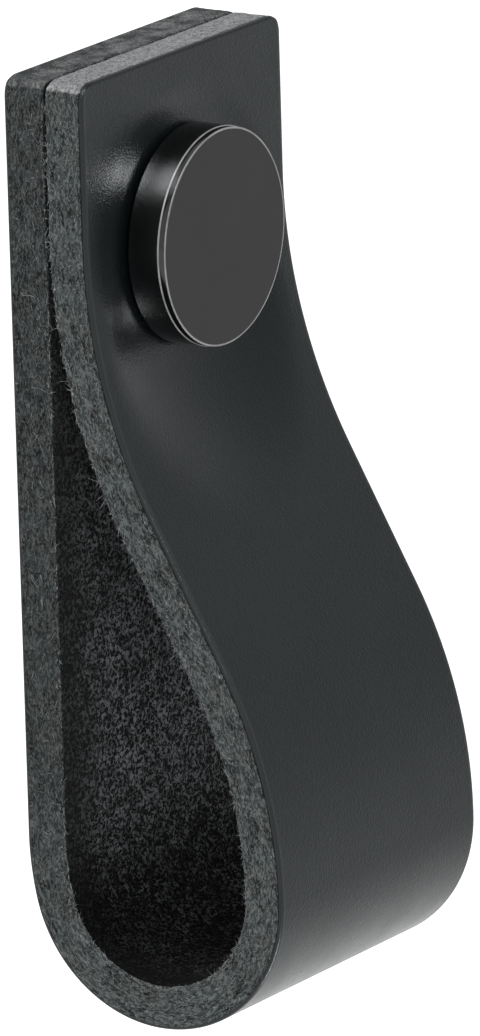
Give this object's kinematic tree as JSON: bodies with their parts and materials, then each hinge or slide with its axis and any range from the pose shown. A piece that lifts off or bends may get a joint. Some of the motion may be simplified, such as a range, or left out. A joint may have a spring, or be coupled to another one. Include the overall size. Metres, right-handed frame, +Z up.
{
  "type": "leather strap pull",
  "caption": "Drawer or door pull: a thick leather strap folded into a hanging loop, its ends clamped under a round flat knob by a countersunk screw.",
  "frame": {"origin": "on the screw's axis, in the plane of the strap's back, which lies against the furniture", "axes": "+Z up, towards the strap's cut ends; -Y out of the furniture front, towards the knob's face; +X across the strap"},
  "size_m": [0.025, 0.0208, 0.0662],
  "materials": {
    "leather": "black grain leather outside, dark suede flesh side inside, raw fibrous cut edges",
    "knob": "satin black face, glossier side, fine bright rim",
    "screw": "zinc plated"
  },
  "bodies": {
    "root": {"leather_strap": "leather", "knob": "knob", "fixing_screw": "screw"}
  },
  "joints": []
}
